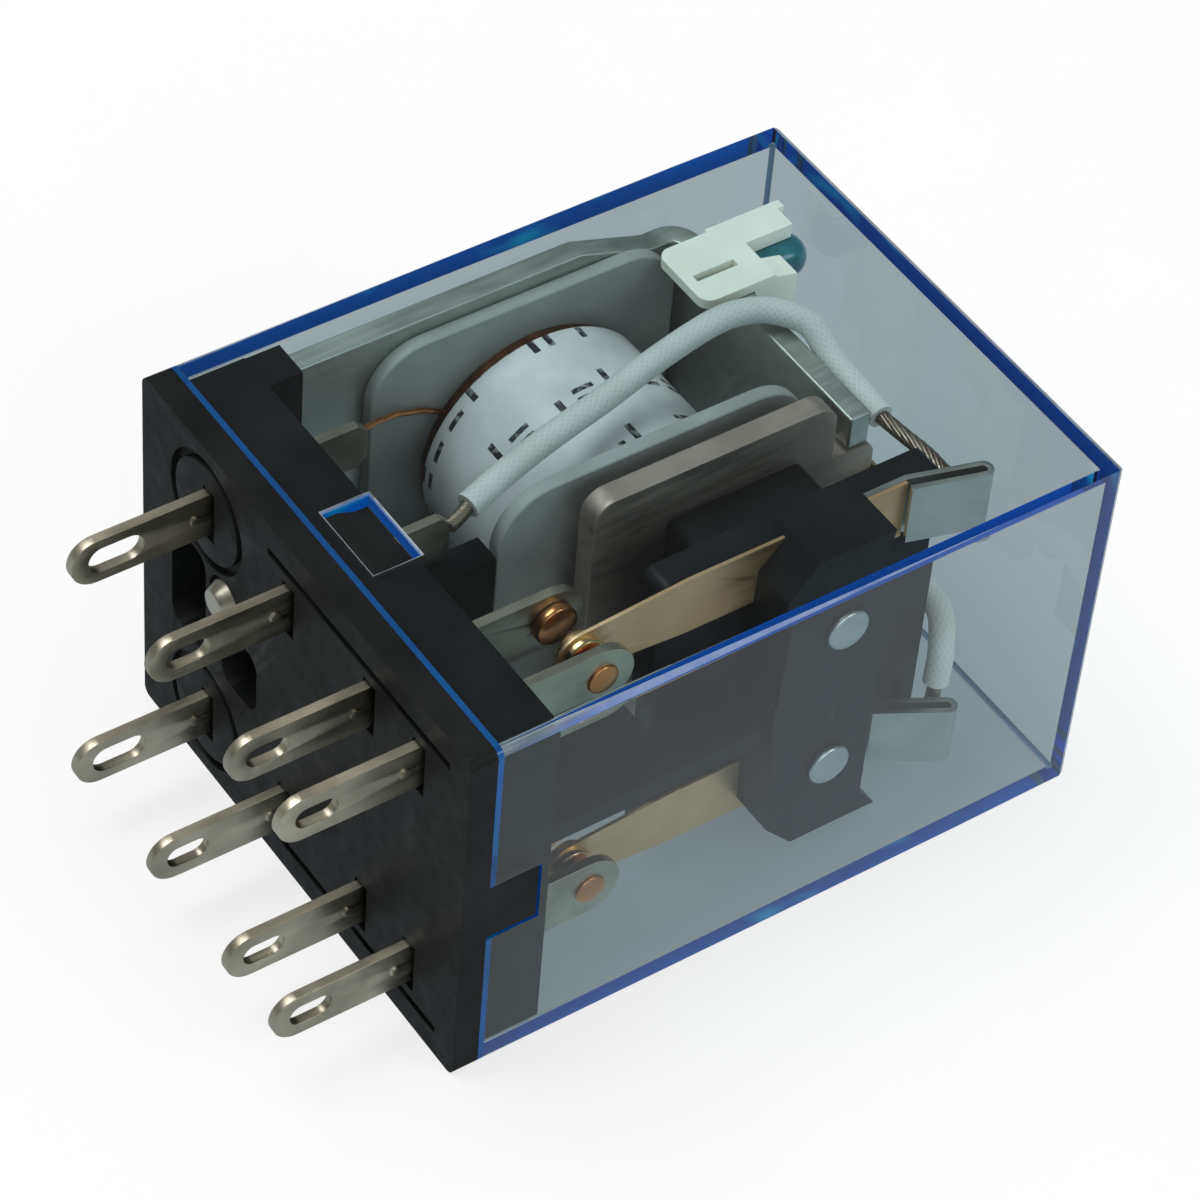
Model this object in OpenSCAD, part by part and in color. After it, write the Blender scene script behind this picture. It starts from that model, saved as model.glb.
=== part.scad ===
// Plug-in relay with two changeover poles and eight blades, lying on its side.
// X runs from the base's seating face (x = 0) to the cover's top, the blades point to -X.
// Y runs across the wide side, with the coil on +Y and the contacts on -Y.
// Z runs across the two poles. All lengths are in millimetres.

/* [Case] */
// Height over base and cover, blades left out
case_h = 36; // [34:0.5:42]
// Width over the base, from the contact side to the coil side
case_w = 28; // [27:0.25:32]
// Thickness over the base, across the two poles
case_t = 21.5; // [21:0.25:25]
// Height of the base's band under the cover's rim
band_h = 1.4; // [1:0.1:1.8]
// Wall of the cover
cover_wall = 0.8; // [0.6:0.05:1]
// Top wall of the cover
cover_top_wall = 0.9; // [0.6:0.05:1.2]
// How far each side of the cover leans in at the top
cover_draft = 0.18; // [0.05:0.01:0.25]
// Radius of the cover's and the base's long edges
case_edge_r = 0.5; // [0.2:0.05:0.7]

/* [Latches] */
// Height of a latch window along X
window_h = 2.45; // [1.8:0.05:2.8]
// Width of a latch window along Y
window_w = 4.4; // [3:0.1:6]
// Bottom edge of a latch window above the cover's rim
window_rise = 1.05; // [0.8:0.05:1.2]
// Height of a rim notch
notch_h = 2.8; // [2:0.1:3.2]
// Width of a rim notch
notch_w = 3.6; // [2.4:0.1:5]
// Play of the base's ramps and tabs in the cover's openings
latch_play = 0.12; // [0.05:0.01:0.2]

/* [Base] */
// Level of the base's inner floor
deck_h = 4.9; // [4.6:0.1:5.6]
// Thickness of the barrier between the poles
barrier_t = 1.2; // [0.8:0.1:2]
// Clearance between pieces that are pressed or plugged together
fit = 0.05; // [0.02:0.01:0.08]

/* [Blades] */
// Width of a blade
blade_w = 2.6; // [2:0.1:3]
// Thickness of a blade
blade_t = 0.5; // [0.4:0.05:0.7]
// Length of a blade below the seating face
blade_l = 7.2; // [5:0.1:9]
// Width of the hole in a contact blade
eye_w = 1.2; // [0.8:0.1:1.4]
// Length of the hole in a contact blade
eye_l = 2.2; // [1.6:0.1:3]
// Width of the hole in a coil blade
coil_eye_w = 1.5; // [1:0.1:1.6]
// Length of the hole in a coil blade
coil_eye_l = 2.9; // [2:0.1:3.4]
// Distance between the two poles
pole_pitch = 13.6; // [13:0.1:13.8]
// Place of the coil blades along Y
coil_row = 8.2; // [7.6:0.1:8.8]
// Place of the common blades along Y
common_row = 1.2; // [0.6:0.1:1.8]
// Width of the tongues that carry the fixed contacts
tongue_w = 3.4; // [2.6:0.1:3.8]

/* [Contacts] */
// Radius of every contact head
contact_r = 1.1; // [0.8:0.05:1.25]
// Height of the contacts above the base's floor
contact_rise = 4.8; // [4:0.1:5.6]
// Thickness of a fixed contact's head
fixed_head_t = 0.6; // [0.4:0.05:0.8]
// Thickness of each face of a moving contact
moving_head_t = 0.5; // [0.3:0.05:0.6]
// Thickness of the moving springs
spring_t = 0.2; // [0.12:0.02:0.3]
// Width of a moving spring in its block
spring_w = 3.5; // [3:0.1:3.8]
// Thickness of the folded clips
clip_t = 0.3; // [0.2:0.05:0.4]
// Gap left between two contact heads that touch or nearly touch
contact_gap = 0.1; // [0.06:0.01:0.15]

/* [Magnet] */
// Swing of the armature in degrees
swing = 3; // [2:0.25:4]
// Thickness of the yoke's strip
yoke_t = 1.2; // [0.8:0.1:1.5]
// Thickness of the armature
armature_t = 1.2; // [0.8:0.1:1.5]
// Room between the yoke and the inside of the cover's top
top_room = 5.3; // [4.9:0.1:6]
// Radius of the core
core_r = 2.6; // [2:0.1:2.8]
// Radius of the core's pole shoe
shoe_r = 3.85; // [3.3:0.05:4.4]
// Radius of the winding
winding_r = 6.1; // [5:0.1:6.4]
// Thickness of the tape on the winding
tape_t = 0.37; // [0.1:0.01:0.6]
// Thickness of the bobbin's flanges and tube
bobbin_wall = 0.8; // [0.5:0.05:1]

/* [Block] */
// Room in front of the contact block for the swing and the clips
swing_room = 2.5; // [2.2:0.1:3]
// Depth of the block's front boss
boss_d = 2.8; // [2.2:0.1:3.2]
// Thickness of the block's back plate
plate_t = 1.5; // [1:0.1:1.8]
// Radius of the heads on the block's rivets
block_head_r = 1.15; // [0.8:0.05:1.4]

/* [Hidden] */
$fn = 64;
cut = 1;

// Colours
black_plastic = [0.09, 0.09, 0.1];
clear_blue = [0.55, 0.7, 0.85, 0.35];
tinned = [0.72, 0.7, 0.66];
steel = [0.5, 0.5, 0.48];
pale_plastic = [0.78, 0.79, 0.77];
copper = [0.72, 0.42, 0.25];
bronze = [0.72, 0.55, 0.36];
gold = [0.85, 0.65, 0.3];
cream = [0.86, 0.85, 0.74];
white_tube = [0.9, 0.9, 0.87];
teal = [0.15, 0.4, 0.42];

// Inside of the cover, at its rim and higher up where the draft narrows it
inner_y = case_w / 2 - cover_wall;
inner_z = case_t / 2 - cover_wall;
function lean(x) = cover_draft * (x - band_h) / (case_h - band_h);

// Poles
pole_z = pole_pitch / 2;

// Heights, measured down from the cover's top and up from the base's floor
yoke_top = case_h - cover_top_wall - top_room;
yoke_under = yoke_top - yoke_t;
hinge_x = yoke_top - 0.7;
flange_gap = 0.4;
flange_up = 8.4;
flange_down = 9.1;
flange_corner_r = 3;
core_x = yoke_under - flange_gap - flange_up;
contact_x = deck_h + contact_rise;

// Contact side, measured from the cover's wall towards the coil
boss_front = -inner_y + swing_room;
plate_front = boss_front + boss_d;
plate_back = plate_front + plate_t;
spring_y = plate_front - 0.3;
rear_boss_d = 3.75;
armature_front = plate_back + rear_boss_d;
armature_back = armature_front + armature_t;
hinge_y = armature_back;

// Coil side, measured from the armature's swing and from the cover's wall
residual_gap = 0.31;
pole_face = armature_back + (hinge_x - core_x + shoe_r) * sin(swing) + residual_gap;
core_end_r = core_r * 0.6;
shoe_proud = 0.45;
shoe_t = 0.8;
bobbin_front = pole_face + shoe_proud;
yoke_play = 0.05;
yoke_back = inner_y - lean(yoke_top) - yoke_play;
yoke_front = yoke_back - yoke_t;

// Fixed contacts, set by the moving contact's swing
moving_front = spring_y - spring_t / 2 - moving_head_t;
moving_back = spring_y + spring_t / 2 + moving_head_t;
closed_row = moving_front - contact_gap - fixed_head_t - blade_t / 2;
travel = (hinge_x - contact_x) * sin(swing);
open_row = moving_back + travel + contact_gap + fixed_head_t + blade_t / 2;
shank_r = contact_r / 2;

// Half widths across the poles
yoke_half = inner_z - 0.95;
top_leg_half = yoke_half - 1.5;
flange_half = inner_z - 1.75;
armature_half = inner_z - 1.15;
neck_half = top_leg_half - 2.3;
ear_w = 1.9;
plate_half = inner_z - 1.65;
boss_half = inner_z - 0.45;
upper_boss_half = pole_z + spring_w / 2 + 0.3;
rear_half = armature_half - 2.8;

// Contact block heights
boss_x0 = core_x - 0.8;
boss_x1 = core_x + 5.2;
plate_x0 = core_x - 5.6;
plate_x1 = hinge_x + 0.9;
block_rivet_x = core_x + 2.8;
block_rivet_z = 4.65;
block_rivet_r = 0.5;
block_rivet_hole = block_rivet_r + fit;

// Flat outlines
module bar(x0, x1, y0, y1) {
    translate([x0, y0]) square([x1 - x0, y1 - y0]);
}

module round_bar(x0, x1, y0, y1, r) {
    bar(x0 + r, x1 - r, y0, y1);
    bar(x0, x1, y0 + r, y1 - r);
    for (x = [x0 + r, x1 - r], y = [y0 + r, y1 - r])
        translate([x, y]) circle(r);
}

module dot(x, y, r) {
    translate([x, y]) circle(r);
}

// A long hole or a round-ended strip along the first axis
module lozenge(x0, x1, y, w) {
    bar(x0 + w / 2, x1 - w / 2, y - w / 2, y + w / 2);
    dot(x0 + w / 2, y, w / 2);
    dot(x1 - w / 2, y, w / 2);
}

// Outlines pushed along an axis: (x, y) along Z, (x, z) along Y and (y, z) along X
module along_z(z0, z1) {
    translate([0, 0, z0]) linear_extrude(z1 - z0) children();
}

module along_y(y0, y1) {
    translate([0, y1, 0]) rotate([90, 0, 0]) linear_extrude(y1 - y0) children();
}

module along_x(x0, x1) {
    translate([x0, 0, 0]) rotate([90, 0, 90]) linear_extrude(x1 - x0) children();
}

module brick(x0, x1, y0, y1, z0, z1) {
    translate([x0, y0, z0]) cube([x1 - x0, y1 - y0, z1 - z0]);
}

module rod_y(x, z, r, y0, y1) {
    translate([x, y1, z]) rotate([90, 0, 0]) cylinder(r = r, h = y1 - y0);
}

module rod_x(y, z, r, x0, x1) {
    translate([x0, y, z]) rotate([0, 90, 0]) cylinder(r = r, h = x1 - x0);
}

// A copy for the pole on +Z (side = 1) or on -Z (side = -1)
module at_pole(side) {
    translate([0, 0, side * pole_z]) children();
}

// The piece and its mirror image across the middle plane between the poles
module both_sides() {
    children();
    mirror([0, 0, 1]) children();
}

// A low cone-edged head on the Y axis, its wide face at y = 0 and its crown towards +Y
module head_y(r, t) {
    edge = t * 0.35;
    rotate([-90, 0, 0]) rotate_extrude()
        polygon([[0, 0], [r, 0], [r, t - edge], [r - edge, t], [0, t]]);
}

// Cover
// A box whose sides lean in towards the top, with round long edges
module leaning_box(x0, x1, half_y, half_z, lean_by, edge_r) {
    intersection() {
        along_z(-half_z, half_z)
            polygon([[x0, -half_y], [x0, half_y], [x1, half_y - lean_by], [x1, lean_by - half_y]]);
        along_y(-half_y, half_y)
            polygon([[x0, -half_z], [x0, half_z], [x1, half_z - lean_by], [x1, lean_by - half_z]]);
        along_x(x0, x1) round_bar(-half_y, half_y, -half_z, half_z, edge_r);
    }
}

module cover() {
    inner_top = case_h - cover_top_wall;
    window_x0 = band_h + window_rise;
    color(clear_blue) difference() {
        leaning_box(band_h, case_h, case_w / 2, case_t / 2, cover_draft, case_edge_r);
        leaning_box(band_h, inner_top, inner_y, inner_z, lean(inner_top), case_edge_r / 2);
        brick(window_x0, window_x0 + window_h, -window_w / 2, window_w / 2, -case_t, case_t);
        brick(band_h - cut, band_h + notch_h, -case_w, case_w, -notch_w / 2, notch_w / 2);
    }
}

// Base
pit_depth = 2.6;
pit_z0 = -2.8;
pit_z1 = 3.6;
pit_w = 3.1;
pit_r = 0.9;
mouth_depth = 0.6;
mouth_room = 0.45;
ring_r = 3.2;
groove_depth = 0.35;
groove_w = 0.45;
groove_z = inner_z - 1.1;
riser_h = 1.9;
riser_t = 0.85;
foot_x0 = 2.6;
foot_z0 = 3;
foot_z1 = 6;
base_rivet_y = 6.6;
base_rivet_z = 2.4;
base_rivet_r = 0.6;
rivet_cone_r = base_rivet_r * 2;
rivet_rise = 0.4;

module blade_slot(row) {
    for (side = [-1, 1])
        at_pole(side) brick(-cut, deck_h + cut,
            row - blade_t / 2 - fit, row + blade_t / 2 + fit,
            -blade_w / 2 - fit, blade_w / 2 + fit);
    // A wider mouth on the outer face
    for (side = [-1, 1])
        at_pole(side) brick(-cut, mouth_depth,
            row - blade_t / 2 - mouth_room, row + blade_t / 2 + fit,
            -blade_w / 2 - mouth_room / 2, blade_w / 2 + mouth_room / 2);
}

// The ramp that clips into a latch window
module latch_ramp() {
    x0 = band_h + window_rise + latch_play;
    x1 = band_h + window_rise + window_h - latch_play;
    z0 = inner_z - 2 * fit - lean(deck_h);
    half = window_w / 2 - latch_play;
    along_y(-half, half)
        polygon([[x0, z0 - 1], [x0, z0 + cover_wall * 0.8], [x0 + 0.6, z0 + cover_wall * 0.8],
            [x1, z0], [x1, z0 - 1]]);
}

module base() {
    plug_y = inner_y - lean(deck_h) - fit;
    plug_z = inner_z - lean(deck_h) - fit;
    riser_top = deck_h + riser_h;
    post_z = plug_z - 2 * fit;
    riser_back = plug_y - 2 * fit;
    pocket_y = yoke_front - fit;
    tab_half = notch_w / 2 - latch_play;
    barrier_y0 = -inner_y + 2.1;
    barrier_y1 = plate_back + 1.4;
    barrier_step = plate_front - 0.4;
    seat_t = 1.6;
    seat_half = pole_z - blade_w / 2 - 0.4;
    color(black_plastic) difference() {
        union() {
            along_x(0, band_h)
                round_bar(-case_w / 2, case_w / 2, -case_t / 2, case_t / 2, case_edge_r);
            along_x(band_h - cut, deck_h) round_bar(-plug_y, plug_y, -plug_z, plug_z, case_edge_r / 2);
            both_sides() latch_ramp();
            brick(band_h - cut, band_h + notch_h - latch_play,
                -case_w / 2 + latch_play / 2, case_w / 2 - latch_play / 2, -tab_half, tab_half);
            // Riser behind the coil that holds the yoke's foot
            brick(deck_h - cut, riser_top, pocket_y - riser_t, pocket_y, -post_z, post_z);
            both_sides()
                brick(deck_h - cut, riser_top, pocket_y - riser_t, riser_back, yoke_half + fit, post_z);
            // Seat under the coil's front flange
            brick(deck_h - cut, core_x - flange_down - fit, bobbin_front, bobbin_front + seat_t,
                -seat_half, seat_half);
            // Barrier between the poles
            along_z(-barrier_t / 2, barrier_t / 2)
                polygon([[deck_h - cut, barrier_y0], [deck_h - cut, barrier_y1],
                    [plate_x0 - 0.8, barrier_y1], [plate_x0 - 0.8, barrier_step],
                    [boss_x0 - 1, barrier_step], [boss_x0 - 1, barrier_y0]]);
        }
        blade_slot(coil_row);
        blade_slot(common_row);
        blade_slot(open_row);
        blade_slot(closed_row);
        // Pockets for the yoke's two foot tabs
        both_sides() brick(foot_x0 - fit, deck_h + cut, pocket_y, case_w, foot_z0 - fit, foot_z1 + fit);
        // Pits, rings and long grooves under the base
        along_x(-cut, pit_depth)
            round_bar(coil_row, coil_row + pit_w, pit_z0, pit_z1, pit_r);
        along_x(-cut, pit_depth)
            round_bar(base_rivet_y + 0.1 - pit_w, base_rivet_y + 0.1, pit_z0, base_rivet_z - 1.5, pit_r);
        for (side = [-1, 1])
            at_pole(side) along_x(-cut, groove_depth) difference() {
                dot(coil_row, 0, ring_r);
                dot(coil_row, 0, ring_r - groove_w);
            }
        both_sides()
            brick(-cut, groove_depth, 0.8 - inner_y, coil_row - ring_r - 2.2,
                groove_z, groove_z + groove_w);
        rod_x(base_rivet_y, base_rivet_z, base_rivet_r + fit, -cut, deck_h + cut);
        rod_x(base_rivet_y, base_rivet_z, rivet_cone_r + fit, -cut, groove_depth);
    }
}

module base_rivet() {
    color(tinned) {
        rod_x(base_rivet_y, base_rivet_z, base_rivet_r, 0, deck_h + rivet_rise);
        translate([groove_depth, base_rivet_y, base_rivet_z]) rotate([0, -90, 0])
            cylinder(r1 = rivet_cone_r, r2 = rivet_cone_r * 0.6, h = groove_depth + 0.6);
        rod_x(base_rivet_y, base_rivet_z, base_rivet_r * 1.5, deck_h, deck_h + rivet_rise);
    }
}

// Terminals
stake_rise = 0.7;
stake_r = 0.28;

// A blade with its eye, and a tongue above the base's floor
module blade(row, eye_width, eye_length, tongue_end, tongue_width, round_end) {
    tip = -blade_l;
    along_y(row - blade_t / 2, row + blade_t / 2) difference() {
        union() {
            lozenge(tip, 0, 0, blade_w);
            bar(-blade_w / 2, deck_h, -blade_w / 2, blade_w / 2);
            if (round_end) {
                bar(deck_h, tongue_end - tongue_width / 2, -tongue_width / 2, tongue_width / 2);
                dot(tongue_end - tongue_width / 2, 0, tongue_width / 2);
            }
            else {
                polygon([[0, -blade_w / 2], [tongue_end - 0.5, -tongue_width / 2],
                    [tongue_end, -tongue_width / 2 + 0.5], [tongue_end, tongue_width / 2 - 0.5],
                    [tongue_end - 0.5, tongue_width / 2], [0, blade_w / 2]]);
            }
        }
        lozenge(tip + 0.9, tip + 0.9 + eye_length, 0, eye_width);
        children();
    }
    // Small stake near the root
    rod_y(-stake_rise, 0, stake_r, row - blade_t / 2 - 0.1, row);
}

module coil_terminal(side) {
    color(tinned) at_pole(side)
        blade(coil_row, coil_eye_w, coil_eye_l, deck_h + 3.65, blade_w, false);
}

module common_terminal(side) {
    color(tinned) at_pole(side)
        blade(common_row, eye_w, eye_l, deck_h + 3.7, blade_w, false);
}

module fixed_terminal(side, row) {
    color(tinned) at_pole(side)
        blade(row, eye_w, eye_l, contact_x + tongue_w / 2, tongue_w, true)
            dot(contact_x, 0, shank_r + fit);
}

// A contact rivet: its head on the tongue's +Y face (turned = 0) or -Y face (turned = 180)
module fixed_contact(side, row, turned) {
    color(copper) at_pole(side) translate([contact_x, row, 0]) rotate([turned, 0, 0]) {
        translate([0, blade_t / 2, 0]) head_y(contact_r, fixed_head_t);
        rod_y(0, 0, shank_r, -blade_t / 2 - 0.1, blade_t / 2 + 0.1);
        translate([0, -blade_t / 2, 0]) mirror([0, 1, 0]) head_y(contact_r * 0.75, 0.25);
    }
}

// Yoke
module yoke() {
    bend_r = 1.6;
    inner_bend_r = 0.4;
    leg_end = hinge_y + 0.15;
    ear_end = armature_front - 0.15;
    taper_x0 = yoke_under - 5.6;
    taper_x1 = yoke_under - 1.3;
    color(steel) difference() {
        union() {
            along_z(-yoke_half, yoke_half) difference() {
                union() {
                    bar(deck_h, yoke_top, yoke_front, yoke_back);
                    bar(yoke_under, yoke_top, leg_end, yoke_back);
                    bar(yoke_under - inner_bend_r, yoke_under, yoke_front - inner_bend_r, yoke_front);
                }
                dot(yoke_under - inner_bend_r, yoke_front - inner_bend_r, inner_bend_r);
                difference() {
                    bar(yoke_top - bend_r, yoke_top + cut, yoke_back - bend_r, yoke_back + cut);
                    dot(yoke_top - bend_r, yoke_back - bend_r, bend_r);
                }
            }
            // Foot tabs in the base, and the ears beside the armature's neck
            both_sides() {
                brick(foot_x0, deck_h + cut, yoke_front, yoke_back, foot_z0, foot_z1);
                brick(yoke_under, yoke_top, ear_end, leg_end + cut, top_leg_half - ear_w, top_leg_half);
            }
        }
        // Sides that narrow towards the bend
        both_sides()
            along_y(ear_end - cut, yoke_back + cut)
                polygon([[taper_x0, yoke_half], [taper_x1, top_leg_half],
                    [yoke_top + cut, top_leg_half], [yoke_top + cut, yoke_half + cut],
                    [taper_x0, yoke_half + cut]]);
        rod_y(core_x, 0, core_end_r + fit, yoke_front - cut, yoke_back + cut);
        rod_x(hinge_rivet_y, 0, hinge_rivet_r + fit, yoke_under - cut, yoke_top + cut);
    }
}

// Core and coil
module core() {
    color(steel) {
        rod_y(core_x, 0, shoe_r, pole_face, pole_face + shoe_t);
        rod_y(core_x, 0, core_r, pole_face, yoke_front);
        rod_y(core_x, 0, core_end_r, pole_face, yoke_back);
    }
}

tube_r = core_r + fit + bobbin_wall;

module flange(y0, y1) {
    along_y(y0, y1)
        round_bar(core_x - flange_down, core_x + flange_up, -flange_half, flange_half, flange_corner_r);
}

module bobbin() {
    color(pale_plastic) difference() {
        union() {
            flange(bobbin_front, bobbin_front + bobbin_wall);
            flange(yoke_front - bobbin_wall, yoke_front);
            rod_y(core_x, 0, tube_r, bobbin_front, yoke_front);
        }
        rod_y(core_x, 0, core_r + fit, bobbin_front - cut, yoke_front + cut);
        rod_y(core_x, 0, shoe_r + fit, bobbin_front - cut, pole_face + shoe_t);
    }
}

coil_y0 = bobbin_front + bobbin_wall + fit;
coil_y1 = yoke_front - bobbin_wall - fit;
tape_y1 = coil_y1 - 0.7;

module ring_y(r, hole, y0, y1) {
    difference() {
        rod_y(core_x, 0, r, y0, y1);
        rod_y(core_x, 0, hole, y0 - cut, y1 + cut);
    }
}

module coil_winding() {
    color(copper) ring_y(winding_r, tube_r + fit, coil_y0, coil_y1);
}

module coil_tape() {
    color(pale_plastic) ring_y(winding_r + tape_t, winding_r, coil_y0, tape_y1);
}

// Springs and clips, which the leads below end at
clip_x0 = block_rivet_x - 1.4;
spring_front = spring_y - spring_t / 2;
spring_back = spring_y + spring_t / 2;
clip_mid_y = spring_back + clip_t / 2;
fold_r = 0.2;
flap_l = 3.7;

// Where each clip bends outwards above the block, by how much, and its length from there
function bend_x(side) = boss_x1 + (side > 0 ? 2.9 : 1.3);
function clip_slope(side) = side > 0 ? 16 : 29;
function clip_l(side) = side > 0 ? 3.7 : 4.5;

// A spot behind a clip, near its fold and off its back by the given room
function clip_spot(side, room) =
    let (a = clip_slope(side), u = clip_l(side) - 0.7, v = clip_t / 2 + room)
    [bend_x(side) + u * cos(a) + v * sin(a), clip_mid_y - u * sin(a) + v * cos(a)];

// Swept leads: eight-sided tubes along hand-chosen points [x, y, z, radius]
function unit(v) = v / norm(v);
function place(p) = [p[0], p[1], p[2]];
function tangent(route, i) =
    let (a = max(i - 1, 0), b = min(i + 1, len(route) - 1)) unit(place(route[b]) - place(route[a]));
function level(n, t) = unit(n - (n * t) * t);
function normals(route) =
    [for (i = 0, n = level([0, 0, 1], tangent(route, 0));
        i < len(route);
        i = i + 1, n = i < len(route) ? level(n, tangent(route, i)) : n) n];

module tube(route) {
    sides = 8;
    last = len(route) - 1;
    ns = normals(route);
    points = [for (i = [0:last], k = [0:sides - 1])
        let (t = tangent(route, i), a = 360 * k / sides)
        place(route[i]) + route[i][3] * (cos(a) * ns[i] + sin(a) * cross(t, ns[i]))];
    walls = [for (i = [0:last - 1], k = [0:sides - 1])
        let (a = i * sides + k, b = i * sides + (k + 1) % sides)
        [b, a, a + sides, b + sides]];
    caps = [[for (k = [0:sides - 1]) k], [for (k = [sides - 1:-1:0]) last * sides + k]];
    polyhedron(points, concat(walls, caps));
}

// A route whose points lie at the given offsets and radii from an anchor
function from(anchor, offsets) =
    [for (o = offsets) [anchor[0] + o[0], anchor[1] + o[1], anchor[2] + o[2], o[3]]];

// Copper ends of the winding, from its far end down to the coil blades
wire_r = 0.15;
lead_start = [core_x - winding_r + 1, coil_y1 - 0.25, 3.5];
lead_end = [deck_h + 2.7, coil_row + blade_t / 2 + wire_r + 0.02, pole_z];
lead_steps = [[0, 0, 0], [0.18, 0.05, 0.26], [0.44, 0.24, 0.55], [0.7, 0.58, 0.8],
    [0.86, 0.9, 0.97], [1, 1, 1]];
lead_route = [for (t = lead_steps) [
    for (i = [0:2]) lead_start[i] + t[i] * (lead_end[i] - lead_start[i]),
    wire_r]];

// White sleeved leads: soldered behind the common blades, up past the coil, over the yoke
// and back down to the clips, with bare braid at both ends
sleeve_r = 0.65;
braid_r = 0.4;
lead_z = inner_z - 1.25;
upper_spot = clip_spot(1, 0.17);
lower_spot = clip_spot(-1, braid_r + 0.05);
up_from_blade = concat(
    from([deck_h, common_row, pole_z], [[3.72, 0, 0.4, braid_r], [4.2, 0, 0.4, braid_r],
        [4.8, 0.2, 0.7, braid_r], [5, 0.3, 0.8, sleeve_r]]),
    from([core_x, common_row, lead_z], [[-7.8, 0.8, -0.7, sleeve_r], [-4.8, 1.5, -0.4, sleeve_r],
        [-1.3, 2.2, -0.2, sleeve_r], [2.7, 3.2, -0.1, sleeve_r], [6.2, 3.8, 0, sleeve_r]]),
    from([yoke_top, common_row, lead_z], [[-1.8, 3.7, -0.1, sleeve_r], [-0.4, 3.1, -0.35, sleeve_r],
        [0.6, 1.9, -0.7, sleeve_r]]));
down_to_clip = concat(
    from([yoke_top, common_row, pole_z], [[0.8, 0.3, 0.3, sleeve_r], [0.8, -1.7, 0, sleeve_r],
        [0.8, -3.8, -0.2, sleeve_r], [0.8, -4, -0.2, braid_r]]),
    from([upper_spot[0], upper_spot[1], pole_z], [[-0.1, 4.1, -0.1, braid_r],
        [0, 2.6, 0, braid_r], [0, 1.3, 0, braid_r], [0, 0, 0, braid_r]]));
loop_to_clip = concat(
    from([yoke_top, common_row, pole_z], [[1.2, 1.6, 0.4, sleeve_r], [1.9, -0.2, -1.2, sleeve_r]]),
    from([lower_spot[0], lower_spot[1], pole_z], [[1.8, 6.8, -3.2, sleeve_r],
        [1.7, 4, -4.8, sleeve_r], [1.2, 1.6, -5.3, sleeve_r], [0.6, 0.4, -4, sleeve_r],
        [0.3, 0.1, -2.2, sleeve_r], [0.2, 0, -2, braid_r], [0, 0, 1.2, braid_r]]));

module coil_lead() {
    color(copper) tube(lead_route);
}

module pigtail(last_part) {
    color(white_tube) tube(concat(up_from_blade, last_part));
}

// Hinge spring: a leaf that hooks over the armature's neck and pushes on its front
hinge_rivet_y = hinge_y + 3.05;
hinge_rivet_r = 0.6;
leaf_t = 0.2;

module hinge_spring() {
    over = hinge_x + 1.6;
    front = armature_front - 0.3;
    color(bronze) difference() {
        along_z(2 - neck_half, neck_half - 2)
            polygon([[yoke_top, hinge_rivet_y + 1.2], [yoke_top + leaf_t, hinge_rivet_y + 1.2],
                [yoke_top + leaf_t, hinge_y + 0.9], [over + leaf_t, hinge_y + 0.2],
                [over + leaf_t, front - leaf_t], [hinge_x, front - leaf_t],
                [hinge_x, front], [over, front], [over, hinge_y + 0.1],
                [yoke_top, hinge_y + 0.8]]);
        rod_x(hinge_rivet_y, 0, hinge_rivet_r + fit, yoke_top - cut, yoke_top + cut);
    }
}

module hinge_spring_rivet() {
    color(tinned) {
        rod_x(hinge_rivet_y, 0, hinge_rivet_r, yoke_under, yoke_top + leaf_t);
        rod_x(hinge_rivet_y, 0, 1, yoke_top + leaf_t, yoke_top + leaf_t + 0.4);
    }
}

// Armature and contact block
module armature() {
    color(steel) difference() {
        along_y(armature_front, armature_back) {
            round_bar(core_x - 5.7, hinge_x - 1.2, -armature_half, armature_half, 1.2);
            round_bar(hinge_x - 4, hinge_x + 1.3, -neck_half, neck_half, 0.8);
        }
        for (z = [-block_rivet_z, block_rivet_z])
            rod_y(block_rivet_x, z, block_rivet_hole, armature_front - cut, armature_back + cut);
    }
}

// Half of the front boss, from the middle to its end on +Z (side = 1) or -Z (side = -1)
module boss_end(side) {
    half = side > 0 ? upper_boss_half : boss_half;
    sweep = side > 0 ? 0.3 : 1;
    outline = [[boss_x0, -cut], [boss_x0 + 0.4, half - 1.8], [boss_x0 + 2, half],
        [boss_x1 + sweep, half], [boss_x1, half - 1.4], [boss_x1, -cut]];
    polygon([for (p = outline) [p[0], side * p[1]]]);
}

module contact_block() {
    slot = fit / 2;
    color(black_plastic) difference() {
        union() {
            // Front boss, whose two ends sweep towards the top, the longer one further
            for (side = [-1, 1])
                along_y(boss_front, plate_front + cut) boss_end(side);
            along_y(plate_front, plate_back)
                round_bar(plate_x0, plate_x1, -plate_half, plate_half, 0.6);
            along_y(plate_back - cut, armature_front)
                round_bar(boss_x0 - 0.7, boss_x1 + 1, -rear_half, rear_half, 0.5);
        }
        for (side = [-1, 1])
            at_pole(side) {
                brick(boss_x0 - cut, boss_x1 + 2, spring_front - slot, spring_back + slot,
                    -spring_w / 2 - slot, spring_w / 2 + slot);
                brick(clip_x0 - slot, boss_x1 + 4, spring_back, spring_back + clip_t + slot,
                    -spring_w / 2 - slot, spring_w / 2 + slot);
            }
        for (z = [-block_rivet_z, block_rivet_z])
            rod_y(block_rivet_x, z, block_rivet_hole, boss_front - cut, armature_front + cut);
    }
}

module block_rivet(side) {
    color(tinned) translate([block_rivet_x, 0, side * block_rivet_z]) {
        rod_y(0, 0, block_rivet_r, boss_front - 0.1, armature_back + 0.1);
        translate([0, boss_front, 0]) mirror([0, 1, 0]) head_y(block_head_r, 0.35);
        translate([0, armature_back, 0]) head_y(0.85, 0.25);
    }
}

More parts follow.
